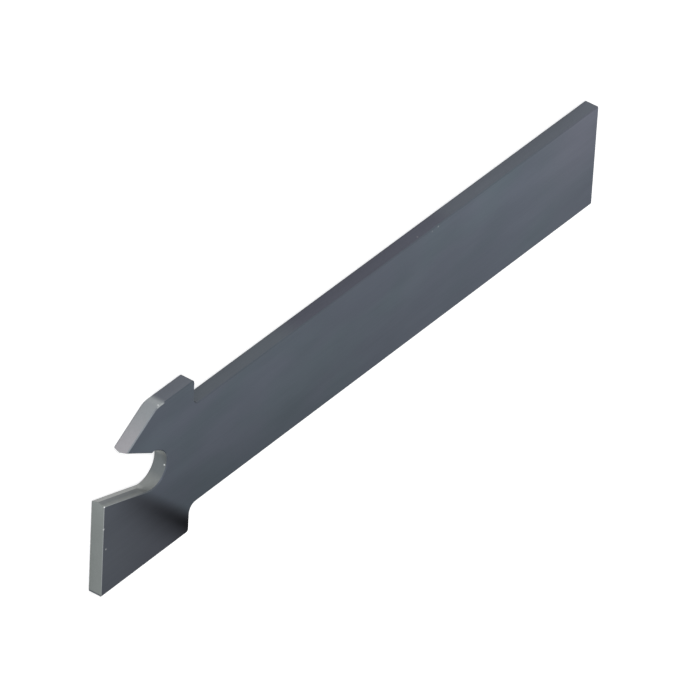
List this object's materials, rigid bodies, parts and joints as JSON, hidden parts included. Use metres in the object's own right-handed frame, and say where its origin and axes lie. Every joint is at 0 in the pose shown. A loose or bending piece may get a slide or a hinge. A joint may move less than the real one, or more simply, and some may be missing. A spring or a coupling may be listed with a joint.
{
  "type": "parting blade",
  "caption": "Flat steel cut-off blade whose head has two jaws with V ridges and a round throat, which together grip a cutting insert by their own spring.",
  "frame": {"origin": "centre of the outline's bounding box, on the side that the blade lies on", "axes": "+X along the blade from the head to the plain end, +Y across its height from the lower jaw to the upper jaw, +Z through its thickness, up out of the side that shows"},
  "size_m": [0.1142, 0.0264, 0.0024],
  "materials": {
    "steel": "hardened tool steel, ground and darkened to a satin blue-grey"
  },
  "bodies": {
    "root": {"blade": "steel"}
  },
  "joints": []
}
